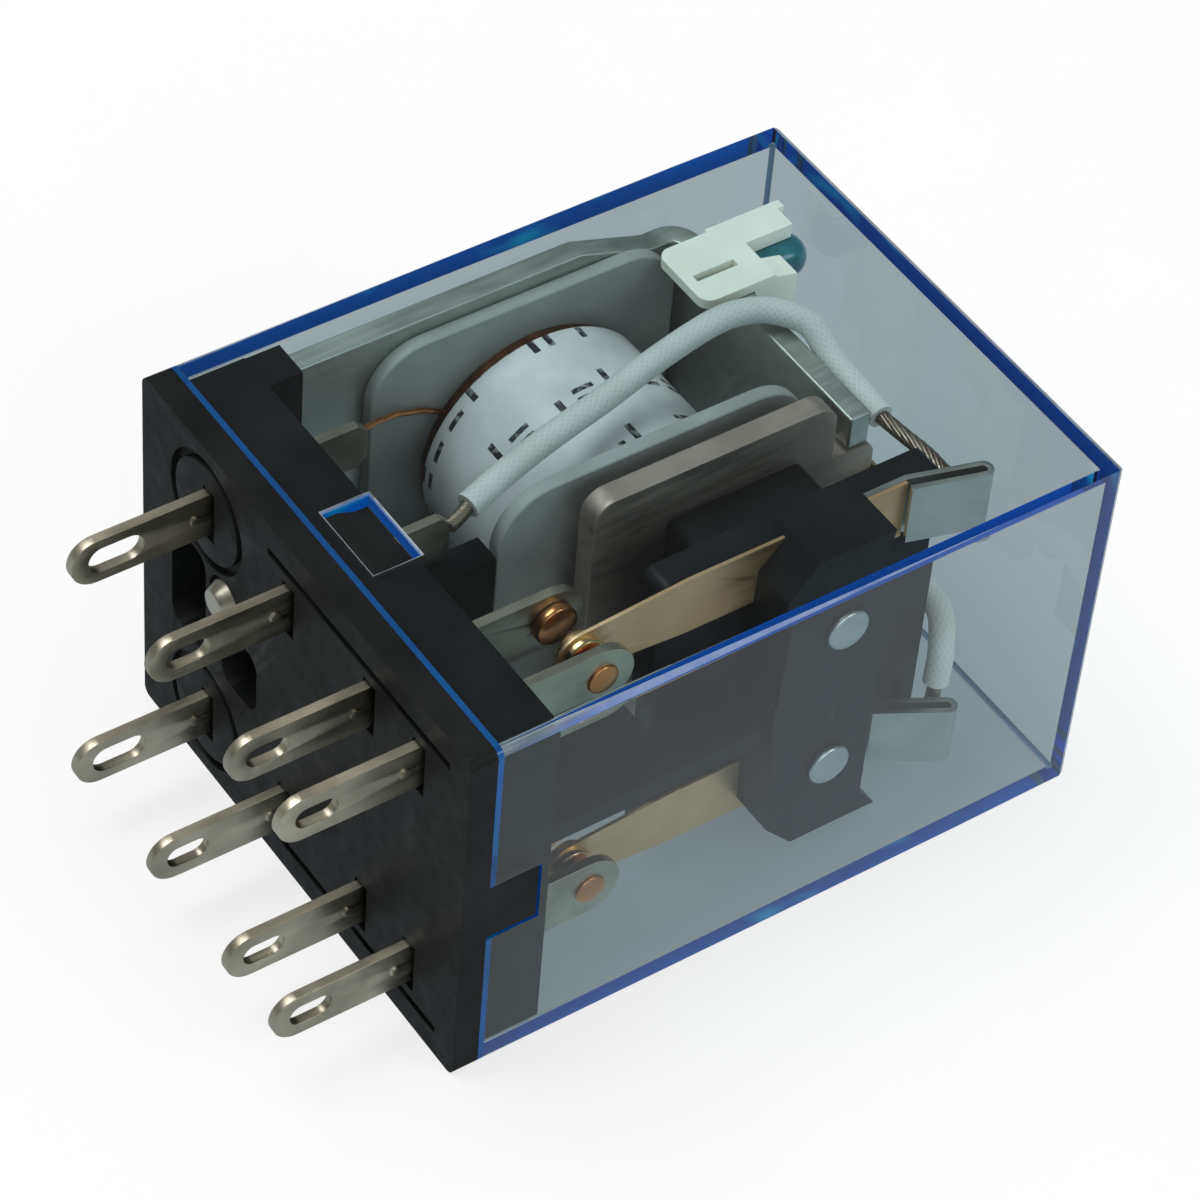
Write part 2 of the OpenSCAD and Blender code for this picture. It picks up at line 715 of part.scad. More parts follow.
// The notch that lets a block rivet pass beside a strip
module rivet_notch(side) {
    dot(block_rivet_x, side * (block_rivet_z - pole_z), block_rivet_r + 0.3);
}

module moving_spring(side) {
    tip_r = 1.3;
    x1 = bend_x(side) - 0.15;
    color(bronze) at_pole(side) along_y(spring_front, spring_back) difference() {
        union() {
            polygon([[contact_x, -tip_r], [contact_x + 5.8, -spring_w / 2], [x1, -spring_w / 2],
                [x1, spring_w / 2], [contact_x + 5.8, spring_w / 2], [contact_x, tip_r]]);
            dot(contact_x, 0, tip_r);
        }
        dot(contact_x, 0, shank_r + fit);
        rivet_notch(side);
    }
}

module moving_contact(side) {
    color(gold) at_pole(side) translate([contact_x, spring_y, 0]) {
        rod_y(0, 0, shank_r, -spring_t / 2 - 0.1, spring_t / 2 + 0.1);
        translate([0, spring_t / 2, 0]) head_y(contact_r, moving_head_t);
        translate([0, -spring_t / 2, 0]) mirror([0, 1, 0]) head_y(contact_r, moving_head_t);
    }
}

// A silver strip behind the spring, which leans outwards above the block and folds forwards on itself
module spring_clip(side) {
    plate_l = clip_l(side);
    color(tinned) at_pole(side) {
        difference() {
            along_z(-spring_w / 2, spring_w / 2) {
                bar(clip_x0, bend_x(side), clip_mid_y - clip_t / 2, clip_mid_y + clip_t / 2);
                translate([bend_x(side), clip_mid_y]) {
                    circle(clip_t / 2);
                    rotate(-clip_slope(side)) {
                        bar(0, plate_l, -clip_t / 2, clip_t / 2);
                        translate([plate_l, -clip_t / 2 - fold_r]) intersection() {
                            difference() {
                                circle(fold_r + clip_t);
                                circle(fold_r);
                            }
                            bar(0, 2, -2, 2);
                        }
                        bar(plate_l - flap_l, plate_l,
                            -3 * clip_t / 2 - 2 * fold_r, -clip_t / 2 - 2 * fold_r);
                    }
                }
            }
            along_y(clip_mid_y - clip_t, clip_mid_y + clip_t) rivet_notch(side);
        }
    }
}

// Lamp on the yoke
led_y = yoke_front - 2.35;
led_z = top_leg_half - 1.45;
led_r = 1.15;
led_l = 2.55;
led_room = led_r + fit;
holder_y0 = led_y - 2.7;
holder_y1 = led_y + 1.7;
holder_t = 1.2;
cheek_t = 0.55;
cheek_z0 = top_leg_half + fit;
cheek_z1 = cheek_z0 + cheek_t;

long_prong = 3.2;
short_prong = 1.3;
cheek_drop = 3;

// Cream fork: a slab on the yoke, a cheek down its side, and two prongs beside the lamp
module led_holder() {
    foot = yoke_top + holder_t;
    root = foot - holder_t / 2;
    long_end = foot + long_prong;
    short_end = foot + short_prong;
    color(cream) {
        brick(yoke_top, foot, holder_y0, holder_y1, 1 - top_leg_half, cheek_z1);
        along_y(led_y + led_room, holder_y1)
            polygon([[root, led_z - 2.4], [long_end, led_z - 1.4], [long_end, cheek_z1], [root, cheek_z1]]);
        // Roof of the long prong over the lamp
        along_z(led_z + led_room, cheek_z1) bar(root, long_end - 0.4, led_y - 0.1, holder_y1);
        along_y(holder_y0, led_y - led_room)
            polygon([[root, led_z - 2.4], [short_end, led_z - 1.4], [short_end, cheek_z1 - 0.5],
                [root, cheek_z1]]);
        // Cheek that grips the side of the yoke, with a slot for the lamp's wire
        along_z(cheek_z0, cheek_z1) difference() {
            round_bar(yoke_top - cheek_drop, foot, holder_y0, yoke_front - bobbin_wall - fit, 0.7);
            bar(yoke_top - cheek_drop + 0.6, foot - 0.3, led_y - 1.2, led_y - 0.75);
        }
    }
}

module led() {
    led_x0 = yoke_top + holder_t;
    led_x1 = led_x0 + led_l;
    color(teal) {
        rod_x(led_y, led_z, led_r, led_x0, led_x1);
        intersection() {
            translate([led_x1, led_y, led_z]) sphere(led_r);
            rod_x(led_y, led_z, led_r, led_x1, led_x1 + led_r);
        }
    }
}

resistor_r = 0.75;
resistor_l = 3.2;

module led_resistor() {
    translate([yoke_top + holder_t + resistor_r, led_y, -resistor_l - 0.2]) color(cream) {
        cylinder(r = resistor_r, h = resistor_l);
        translate([0, 0, -1]) cylinder(r = 0.2, h = resistor_l + 2);
    }
}

cover();
base();
base_rivet();
coil_terminal(1);  // coil_terminal_1
coil_terminal(-1);  // coil_terminal_2
common_terminal(1);  // common_terminal_1
common_terminal(-1);  // common_terminal_2
fixed_terminal(1, open_row);  // open_terminal_1
fixed_terminal(-1, open_row);  // open_terminal_2
fixed_terminal(1, closed_row);  // closed_terminal_1
fixed_terminal(-1, closed_row);  // closed_terminal_2
fixed_contact(1, open_row, 180);  // open_contact_1
fixed_contact(-1, open_row, 180);  // open_contact_2
fixed_contact(1, closed_row, 0);  // closed_contact_1
fixed_contact(-1, closed_row, 0);  // closed_contact_2
yoke();
core();
bobbin();
coil_winding();
coil_tape();
coil_lead();  // coil_lead_1
mirror([0, 0, 1]) coil_lead();  // coil_lead_2
hinge_spring();
hinge_spring_rivet();
armature();
contact_block();
block_rivet(1);  // block_rivet_1
block_rivet(-1);  // block_rivet_2
moving_spring(1);  // moving_spring_1
moving_spring(-1);  // moving_spring_2
moving_contact(1);  // moving_contact_1
moving_contact(-1);  // moving_contact_2
spring_clip(1);  // spring_clip_1
spring_clip(-1);  // spring_clip_2
pigtail(down_to_clip);  // pigtail_1
mirror([0, 0, 1]) pigtail(loop_to_clip);  // pigtail_2
led_holder();
led();
led_resistor();
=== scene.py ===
"""Looks of a plug-in relay that lies on its side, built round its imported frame.

Everything is in metres in the frame of the CAD model: X runs from the blades to the cover's top,
Y from the contacts to the coil, and Z up from the floor across the two poles.
"""
import math

import bmesh
import bpy
from mathutils import Matrix, Vector


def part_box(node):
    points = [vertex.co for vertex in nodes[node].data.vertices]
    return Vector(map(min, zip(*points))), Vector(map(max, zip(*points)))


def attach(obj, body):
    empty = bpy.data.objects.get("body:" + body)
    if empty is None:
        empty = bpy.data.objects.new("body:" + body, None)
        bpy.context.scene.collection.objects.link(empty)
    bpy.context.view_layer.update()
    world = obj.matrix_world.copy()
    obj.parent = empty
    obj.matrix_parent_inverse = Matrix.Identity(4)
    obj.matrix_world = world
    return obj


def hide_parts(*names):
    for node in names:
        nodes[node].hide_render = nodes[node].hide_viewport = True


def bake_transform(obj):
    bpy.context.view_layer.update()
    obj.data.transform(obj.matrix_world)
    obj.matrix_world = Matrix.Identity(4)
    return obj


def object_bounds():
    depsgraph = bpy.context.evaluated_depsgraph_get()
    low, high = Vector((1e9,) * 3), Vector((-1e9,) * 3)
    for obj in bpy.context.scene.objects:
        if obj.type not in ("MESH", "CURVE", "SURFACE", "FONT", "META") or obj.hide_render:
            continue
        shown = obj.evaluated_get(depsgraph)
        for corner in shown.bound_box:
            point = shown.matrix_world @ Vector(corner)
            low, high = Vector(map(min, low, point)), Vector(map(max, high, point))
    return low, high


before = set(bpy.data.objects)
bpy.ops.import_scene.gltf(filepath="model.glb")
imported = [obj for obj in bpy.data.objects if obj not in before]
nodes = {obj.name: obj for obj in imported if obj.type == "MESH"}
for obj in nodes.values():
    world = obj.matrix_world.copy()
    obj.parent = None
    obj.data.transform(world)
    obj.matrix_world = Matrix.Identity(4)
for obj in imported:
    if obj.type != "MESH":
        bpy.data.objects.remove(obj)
cad_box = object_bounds()
MM = 0.001
WHITE = (1, 1, 1, 1)

# Angles in degrees: faces that meet under FLAT_ANGLE are one face, and over SQUARE_EDGE a corner

FLAT_ANGLE = 1.0
SQUARE_EDGE = 60.0
WELD_REACH = 0.002 * MM

# The cover and the clips

PLASTIC_IOR = 1.58
COVER_WALL = 0.8 * MM
COVER_TOP_EDGE = 0.4 * MM
COVER_FOOT = 4.2 * MM
COVER_FOOT_EDGE = 0.05 * MM
RIM_LINE = 0.3 * MM
WINDOW_EDGE = 0.12 * MM
WINDOW_REACH = 3 * MM
FACE_DRAFT = 0.05 * MM
FILLET = 0.28 * MM
FILLET_STEPS = 6
FILLET_LIFT = 0.01 * MM
FILLET_END_GAP = 0.05 * MM
CLIP_SHEET = 0.36 * MM
CLIP_SHORTEST = 0.1 * MM
CLIP_CORNER = 0.4 * MM
CLIP_EDGE = 0.04 * MM

# Strokes on the coil's tape: cells round it in shares of half a cell, and rows along it in millimetres

CELL = 1.9 * MM
ROW_START = 2.4 * MM
ROW_PITCH = 3.9 * MM
CELL_USED = 0.62
ROW_USED = 0.78
BAR_STEP = 0.6
BAR_HALF = 0.15
POST_PLACE = 0.46
POST_HALF = 0.19

# Wire, weave and braid

WIRE_PITCH = 0.12 * MM
WEAVE_ROUND = 12
WEAVE_CLIMB = 2.9
SLEEVE_R = 0.65 * MM
SLEEVE_SIDES = 24
STRANDS = 9
STRAND_R = 0.11 * MM
STRAND_CIRCLE = 0.27 * MM
STRAND_TURNS = 1.2
STRAND_SIDES = 6
STRAND_CORE_SIDES = 10

# Contact rivets in millimetres: a head's radius, thickness, crown, and the way from its seat to the end

FIXED_HEAD = (1.1, 0.45, 0.09, 0.55)
FIXED_TAIL = (0.82, 0.15, 0.08, 0.25)
MOVING_HEAD = (1.1, 0.4, 0.09, 0.5)
HEAD_EDGE = 0.12
SHANK_R = 0.55
SHANK_INSET = 0.1

# Stage, lamps (place, side, watts) and camera

FLOOR_HALF = 4.0
FLOOR_DROP = 0.02 * MM
LAMP_AIM = (0.015, 0, 0)
LAMPS = {
    "key": ((-0.08, 0.10, 0.34), 0.22, 0.75),
    "fill": ((-0.05, -0.35, 0.16), 0.25, 0.28),
    "edge": ((0.165, -0.26, 0.19), 0.12, 0.16),
}
LENS = 142.0
SENSOR = 36.0
VIEW_NEAR = 0.01
VIEW_FAR = 20

# The camera's place in millimetres, and its right, up and forward directions
CAMERA_PLACE = (-78.41, -123.34, 161.87)
CAMERA_AXES = ((0.82825, -0.55680, 0.06305), (0.36728, 0.62440, 0.68937), (0.42321, 0.54781, -0.72166))


def span(node):
    """Lowest and highest corner of a node."""
    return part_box(node)


# Node graphs

class Graph:
    """A new material whose nodes are added and linked in short calls."""

    SOCKETS = {"base": "Base Color", "rough": "Roughness", "metal": "Metallic", "normal": "Normal",
               "coat": "Coat Weight", "coat_rough": "Coat Roughness", "level": "Specular IOR Level",
               "under": "Subsurface Weight", "under_scale": "Subsurface Scale", "sheen": "Sheen Weight"}

    def __init__(self, name):
        self.mat = bpy.data.materials.new(name)
        self.mat.use_nodes = True
        self.tree = self.mat.node_tree
        self.tree.nodes.clear()

    def add(self, kind, inputs=(), **props):
        node = self.tree.nodes.new("ShaderNode" + kind)
        for key, value in props.items():
            setattr(node, key, value)
        for key, value in dict(inputs).items():
            if isinstance(value, bpy.types.NodeSocket):
                self.tree.links.new(value, node.inputs[key])
            else:
                node.inputs[key].default_value = value
        return node

    def place(self):
        """Coordinates in the object's own frame, in metres."""
        return self.add("TexCoord").outputs["Object"]

    def axes(self, place=None):
        return self.add("SeparateXYZ", {0: place or self.place()}).outputs

    def calc(self, operation, a, b=0.0):
        return self.add("Math", {0: a, 1: b}, operation=operation).outputs[0]

    def times(self, a, b):
        return self.calc("MULTIPLY", a, b)

    def noise(self, scale, detail=3.0, at=None):
        inputs = {"Vector": at or self.place(), "Scale": scale, "Detail": detail}
        return self.add("TexNoise", inputs).outputs["Fac"]

    def spread(self, value, low, high, start=0.0, end=1.0):
        """Maps start..end of a value to low..high, and holds it there."""
        inputs = {"Value": value, "From Min": start, "From Max": end, "To Min": low, "To Max": high}
        return self.add("MapRange", inputs).outputs[0]

    def blend(self, share, a, b):
        """Mixes two colours, each given as three numbers or as a colour socket."""
        a, b = (c if isinstance(c, bpy.types.NodeSocket) else (*c, 1) for c in (a, b))
        return self.add("Mix", {0: share, 6: a, 7: b}, data_type="RGBA").outputs[2]

    def mix(self, share, a, b):
        """Mixes two shaders."""
        return self.add("MixShader", {0: share, 1: a, 2: b}).outputs[0]

    def shader(self, kind, **inputs):
        return self.add("Bsdf" + kind, inputs).outputs[0]

    def bump(self, height, depth, strength=1.0, normal=None):
        inputs = {"Height": height, "Distance": depth, "Strength": strength}
        if normal is not None:
            inputs["Normal"] = normal
        return self.add("Bump", inputs).outputs["Normal"]

    def principled(self, **inputs):
        ready = {self.SOCKETS[key]: value for key, value in inputs.items()}
        return self.add("BsdfPrincipled", ready).outputs[0]

    def done(self, surface, volume=None):
        ends = {"Surface": surface}
        if volume is not None:
            ends["Volume"] = volume
        self.add("OutputMaterial", ends)
        return self.mat


# Materials

def moulded(name, base, dark, rough, level, under=0.0):
    """Moulded plastic: two close tones, a fine grain and faint flow marks."""
    g = Graph(name)
    cloud = g.spread(g.noise(260, 4), 0, 1, 0.35, 0.65)
    normal = g.bump(g.noise(2600, 2), 2e-6, 0.25, g.bump(g.noise(420, 2), 6e-6, 0.5))
    return g.done(g.principled(base=g.blend(cloud, dark, base), normal=normal, level=level,
                               rough=g.spread(g.noise(900), rough - 0.06, rough + 0.08, 0.3, 0.7),
                               under=under, under_scale=1.2 * MM))


def metal(name, base, dark, rough, stretch=1.0, streaks=1200, dip=8e-6):
    """Sheet metal: faint stains, and rolled streaks along X that are longer where stretch is smaller."""
    g = Graph(name)
    stretched = g.add("Mapping", {"Vector": g.place(), "Scale": (stretch, 1, 1)}).outputs[0]
    lines = g.noise(streaks, 3, stretched)
    stain = g.spread(g.noise(330, 5), 0, 1, 0.35, 0.75)
    normal = g.bump(lines, 3e-6, 0.7, g.bump(g.noise(700, 2), dip, 0.8))
    return g.done(g.principled(base=g.blend(stain, dark, base), metal=1.0, normal=normal,
                               rough=g.spread(lines, rough - 0.07, rough + 0.1, 0.3, 0.7)))


def coil_tape():
    """Pale smooth tape with three rows of plain dark strokes round it, which spell nothing.

    Each cell is empty, or holds bars that run round the coil, or posts that run along it.
    """
    g = Graph("coil_tape")
    low, high = span("coil_tape")
    axes = g.axes()
    turn = g.calc("ARCTAN2", axes["Z"], g.calc("SUBTRACT", axes["X"], (low.x + high.x) / 2))
    cells = g.times(turn, (high.x - low.x) / 2 / CELL)
    rows = g.calc("DIVIDE", g.calc("SUBTRACT", axes["Y"], ROW_START), ROW_PITCH)
    cell = g.calc("FLOOR", cells)
    row = g.calc("ROUND", rows)
    x = g.times(g.calc("SUBTRACT", g.calc("FRACT", cells), 0.5), 2.0)
    y = g.times(g.calc("SUBTRACT", rows, row), ROW_PITCH / MM)

    def within(value, half):
        return g.calc("LESS_THAN", g.calc("ABSOLUTE", value), half)

    def lucky(shift, third, odds):
        """One for the given share of cells, by chance; shift and third set the draws apart."""
        at = g.add("CombineXYZ", {0: cell, 1: g.calc("ADD", row, shift), 2: third}).outputs[0]
        chance = g.add("TexWhiteNoise", {"Vector": at}, noise_dimensions="3D").outputs["Value"]
        return g.calc("LESS_THAN", chance, odds)

    step = g.calc("ROUND", g.calc("DIVIDE", y, BAR_STEP))
    from_bar = g.calc("SUBTRACT", y, g.times(step, BAR_STEP))
    bars = g.times(within(from_bar, BAR_HALF), within(x, CELL_USED))
    bars = g.times(bars, lucky(0.37, step, 0.62))
    posts = within(g.calc("SUBTRACT", g.calc("ABSOLUTE", x), POST_PLACE), POST_HALF)
    quarter = g.calc("ADD", g.calc("SIGN", x), g.times(g.calc("SIGN", y), 3.0))
    posts = g.times(posts, lucky(7.71, quarter, 0.6))
    strokes = g.add("Mix", {0: lucky(3.13, 9.2, 0.5), 2: posts, 3: bars}, data_type="FLOAT").outputs[0]
    mask = g.times(g.times(strokes, within(y, ROW_USED)), lucky(0.0, 3.3, 0.8))
    worn = g.spread(g.noise(2600, 3), 0.55, 1.0, 0.35, 0.5)
    cloud = g.spread(g.noise(500, 3), 0, 1, 0.3, 0.7)
    base = g.blend(cloud, (0.60, 0.60, 0.59), (0.73, 0.725, 0.71))
    base = g.blend(g.times(mask, worn), base, (0.02, 0.022, 0.025))
    return g.done(g.principled(base=base, rough=0.34, normal=g.bump(g.noise(650, 2), 1.2e-5, 0.6)))


def winding():
    """Enamelled copper wire laid in rows."""
    g = Graph("winding")
    rows = g.calc("SINE", g.times(g.axes()["Y"], math.tau / WIRE_PITCH))
    tone = g.spread(g.noise(1500, 4), 0, 1, 0.3, 0.7)
    base = g.blend(tone, (0.12, 0.05, 0.025), (0.3, 0.13, 0.06))
    return g.done(g.principled(base=base, metal=0.85, rough=0.35, normal=g.bump(rows, 2e-5, 0.8)))


def sleeve():
    """Woven glass-fibre sleeve: the weave follows the tube's own map."""
    g = Graph("sleeve")
    along = g.axes(g.add("UVMap", uv_map="along").outputs[0])
    turn = g.times(along["X"], WEAVE_ROUND * math.tau)
    climb = g.times(along["Y"], WEAVE_CLIMB * math.tau)
    strands = g.calc("MAXIMUM", g.calc("SINE", g.calc("ADD", turn, climb)),
                     g.calc("SINE", g.calc("SUBTRACT", turn, climb)))
    weave = g.spread(strands, 0, 1, -0.2, 1)
    dirt = g.spread(g.noise(420, 4), 0, 1, 0.3, 0.75)
    base = g.blend(dirt, (0.56, 0.555, 0.515), (0.66, 0.66, 0.63))
    base = g.blend(g.spread(weave, 0.25, 0.0), base, (0.33, 0.33, 0.30))
    return g.done(g.principled(base=base, rough=0.6, normal=g.bump(weave, 1.4e-5, 0.7), sheen=0.15))


def lamp_lens():
    """Dark teal plastic with a glossy, slightly uneven face."""
    g = Graph("lamp_lens")
    cloud = g.spread(g.noise(700, 2), 0, 1, 0.35, 0.65)
    base = g.blend(cloud, (0.01, 0.1, 0.13), (0.03, 0.19, 0.23))
    return g.done(g.principled(base=base, rough=0.12, coat=0.6, coat_rough=0.05,
                               normal=g.bump(g.noise(900, 1), 4e-6, 0.5)))


def clear_wall():
    """The cover's clear blue plastic: it bends what is seen through it, and lets lamp light straight in.

    Its outer faces mirror at a slant, its rounded edges carry a pale haze that is partly dust and wear and
    partly a painted sheen, and its inner faces mirror only what can't leave. A ray caught between a wall's
    two faces ends in a painted deep blue that stands for the light gathered in the edges, with brighter
    cyan patches as painted glints.
    """
    g = Graph("clear_wall")
    path = g.add("LightPath").outputs
    back = g.add("NewGeometry").outputs["Backfacing"]
    front = g.calc("SUBTRACT", 1.0, back)
    inside = g.times(back, g.calc("LESS_THAN", path["Transparent Depth"], 0.5))
    echo = g.times(inside, path["Is Glossy Ray"])
    bent = g.calc("MAXIMUM", echo, g.calc("MAXIMUM", path["Is Camera Ray"], path["Is Transmission Ray"]))

    normal = g.bump(g.noise(110, 2), 2e-6, 0.4)
    fresnel = g.add("Fresnel", {"IOR": PLASTIC_IOR, "Normal": normal}).outputs[0]
    outer = g.times(front, g.spread(fresnel, 0.0, 1.0, 0.05, 0.45))
    mirror = g.calc("ADD", outer, g.times(back, g.calc("GREATER_THAN", fresnel, 0.6)))
    through = g.shader("Refraction", Color=WHITE, Roughness=0.0, IOR=PLASTIC_IOR, Normal=normal)
    shine = g.shader("Anisotropic", Color=WHITE, Roughness=0.0, Normal=normal)

    facing = g.axes(g.add("NewGeometry").outputs["True Normal"])
    slants = [g.calc("ABSOLUTE", g.times(facing[a], facing[b])) for a, b in ("XY", "YZ", "XZ")]
    slant = g.calc("MAXIMUM", slants[0], g.calc("MAXIMUM", slants[1], slants[2]))
    # Pale haze on the rounded edges: partly dust and wear, partly a painted sheen that brightens them; the
    # worn mask below carries both
    worn = g.times(g.spread(slant, 0.0, 0.5, 0.1, 0.35), g.spread(g.noise(420, 3), 0.55, 1.0, 0.35, 0.65))
    dust_and_sheen = g.shader("Diffuse", Color=(0.42, 0.50, 0.58, 1))
    solid = g.mix(g.times(front, worn), g.mix(mirror, through, shine), dust_and_sheen)
    wall = g.mix(bent, g.shader("Transparent", Color=WHITE), solid)

    # Rays caught in a wall end on painted light: a deep blue that stands for the light gathered in the
    # edges, with brighter cyan patches as painted glints
    caught = g.times(echo, g.calc("GREATER_THAN", path["Glossy Depth"], 1.5))
    painted_edge_light = g.blend(g.spread(g.noise(170, 2), 0, 1, 0.6, 0.7), (0.006, 0.15, 0.62), (0.02, 0.55, 0.95))
    deep = g.add("AddShader", {0: g.shader("Diffuse", Color=painted_edge_light), 1: g.shader("Translucent", Color=painted_edge_light)})
    tint = g.add("VolumeAbsorption", {"Color": (0.25, 0.57, 0.66, 1), "Density": 350.0}).outputs[0]
    return g.done(g.mix(caught, wall, deep.outputs[0]), tint)


def blue_wall(name, tint, body, share):
    """Where light gathers in the cover's edges: blue, with the given share solid and the rest clear."""
    g = Graph(name)
    along = g.spread(g.noise(160, 3), 0, 1, 0.3, 0.7)

    def uneven(colour):
        return g.blend(along, tuple(c * 0.7 for c in colour), colour)

    solid = g.principled(base=uneven(body), rough=0.12, coat=0.3, coat_rough=0.05)
    return g.done(g.mix(share, g.shader("Transparent", Color=uneven(tint)), solid))


PAINT = {
    "black": moulded("black_plastic", (0.011, 0.0125, 0.013), (0.006, 0.007, 0.0075), 0.5, 0.12),
    "block": moulded("block_plastic", (0.012, 0.013, 0.014), (0.007, 0.008, 0.009), 0.42, 0.2),
    "pale": moulded("pale_plastic", (0.36, 0.365, 0.345), (0.28, 0.285, 0.265), 0.42, 0.4),
    "cream": moulded("cream_plastic", (0.93, 0.92, 0.80), (0.84, 0.83, 0.71), 0.45, 0.5, 0.1),
    "tinned": metal("tinned", (0.70, 0.65, 0.51), (0.38, 0.35, 0.27), 0.36, 0.15, 1600, 2.2e-5),
    "yoke": metal("yoke", (0.72, 0.74, 0.68), (0.57, 0.59, 0.53), 0.46, 0.12, 2400, 6e-6),
    "iron": metal("iron", (0.66, 0.57, 0.48), (0.50, 0.42, 0.35), 0.6, 0.12, 2400, 6e-6),
    "silver": metal("silver", (0.82, 0.82, 0.80), (0.62, 0.62, 0.60), 0.3, 0.3, 1500, 1.5e-5),
    "bronze": metal("bronze", (0.96, 0.68, 0.41), (0.80, 0.52, 0.29), 0.46, 0.08, 2600, 6e-6),
    "clip": metal("clip", (0.74, 0.74, 0.69), (0.58, 0.58, 0.54), 0.34, 0.3, 900),
    "gold": metal("gold", (0.93, 0.67, 0.33), (0.74, 0.47, 0.2), 0.25),
    "copper": metal("copper", (0.90, 0.42, 0.17), (0.6, 0.22, 0.08), 0.28),
    "braid": metal("braid", (0.46, 0.38, 0.30), (0.27, 0.21, 0.16), 0.42, 1.0, 1500),
    "solder": metal("solder", (0.70, 0.68, 0.58), (0.42, 0.40, 0.32), 0.3, 1.0, 1300, 5e-5),
    "tape": coil_tape(),
    "winding": winding(),
    "sleeve": sleeve(),
    "lamp": lamp_lens(),
}


# Meshes

def finish_mesh(bm, name, paints, body, smooth_angle=32.0):
    """Turns a bmesh into a piece that rides on a body, with smooth faces between its sharp edges."""
    mesh = bpy.data.meshes.new(name)
    bmesh.ops.recalc_face_normals(bm, faces=bm.faces)
    for f in bm.faces:
        f.smooth = True
    for e in bm.edges:
        if len(e.link_faces) == 2 and e.calc_face_angle(0) > math.radians(smooth_angle):
            e.smooth = False
    bm.to_mesh(mesh)
    bm.free()
    piece = bpy.data.objects.new(name, mesh)
    bpy.context.scene.collection.objects.link(piece)
    weigh = piece.modifiers.new("flat_faces_first", "WEIGHTED_NORMAL")
    weigh.weight = 90
    weigh.keep_sharp = True
    for p in paints:
        piece.data.materials.append(p)
    if body:
        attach(piece, body)
    return piece


def solid_of(node):
    """A welded copy of a node's mesh, with its flat faces whole again."""
    bm = bmesh.new()
    bm.from_mesh(nodes[node].data)
    bmesh.ops.remove_doubles(bm, verts=bm.verts, dist=WELD_REACH)
    bmesh.ops.dissolve_limit(bm, angle_limit=math.radians(FLAT_ANGLE), verts=bm.verts, edges=bm.edges)
    return bm


def soften(bm, width, angle, segments, keep=lambda e: True):
    """Rounds the edges that are sharper than an angle and that keep() accepts."""
    sharp = [e for e in bm.edges if len(e.link_faces) == 2
             and e.calc_face_angle(0) > math.radians(angle) and keep(e)]
    bmesh.ops.bevel(bm, geom=sharp, offset=width, segments=segments, profile=0.5,
                    affect="EDGES", clamp_overlap=True, loop_slide=True)
    bmesh.ops.triangulate(bm, faces=[f for f in bm.faces if len(f.verts) > 4])


def stand_for(node, paint, width, segments=2, body="root", angle=35.0):
    """A softened copy of a CAD node, which then replaces it; width is in millimetres."""
    bm = solid_of(node)
    soften(bm, width * MM, angle, segments)
    piece = finish_mesh(bm, node + "_look", [PAINT[paint]], body)
    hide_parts(node)


def spring_clip(k):
    """A folded clip. Its sheet's corners, which are the short edges that don't run along Z, are rounded."""
    def corner(e):
        ahead = (e.verts[0].co - e.verts[1].co).normalized()
        return CLIP_SHORTEST < e.calc_length() < CLIP_SHEET and abs(ahead.z) < 0.1

    node = f"spring_clip_{k}"
    bm = solid_of(node)
    soften(bm, CLIP_CORNER, SQUARE_EDGE, 4, corner)
    soften(bm, CLIP_EDGE, SQUARE_EDGE, 2)
    piece = finish_mesh(bm, node + "_look", [PAINT["clip"]], "armature")
    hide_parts(node)


# Cover

def cover():
    """The clear cover: the CAD shell with rounded top and window edges, and a blue line at its rim, painted
    light that gathers in the cut edge.
    """
    low, high = span("cover")
    rim = low.x + RIM_LINE

    def at_top(v):
        return v.co.x > high.x - 0.01 * MM

    def at_window(v):
        outside = abs(v.co.z) > high.z - FACE_DRAFT
        return outside and abs(v.co.y) < WINDOW_REACH and v.co.x > rim

    def at_foot(v):
        return v.co.x < low.x + COVER_FOOT

    bm = solid_of("cover")
    for width, segments, at in ((COVER_TOP_EDGE, 4, at_top), (WINDOW_EDGE, 2, at_window),
                                (COVER_FOOT_EDGE, 1, at_foot)):
        soften(bm, width, SQUARE_EDGE, segments, lambda e: all(at(v) for v in e.verts))
    bmesh.ops.bisect_plane(bm, geom=bm.verts[:] + bm.edges[:] + bm.faces[:],
                           plane_co=(rim, 0, 0), plane_no=(1, 0, 0), dist=1e-7)
    # Faces below the rim line take the blue rim paint: painted light that gathers in the cut edge
    for f in bm.faces:
        f.material_index = int(f.calc_center_median().x < rim)
    paints = [clear_wall(), blue_wall("blue_rim", (0.03, 0.2, 0.55), (0.004, 0.085, 0.3), 0.65)]
    piece = finish_mesh(bm, "clear_cover", paints, "root", FLAT_ANGLE)
    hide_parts("cover")


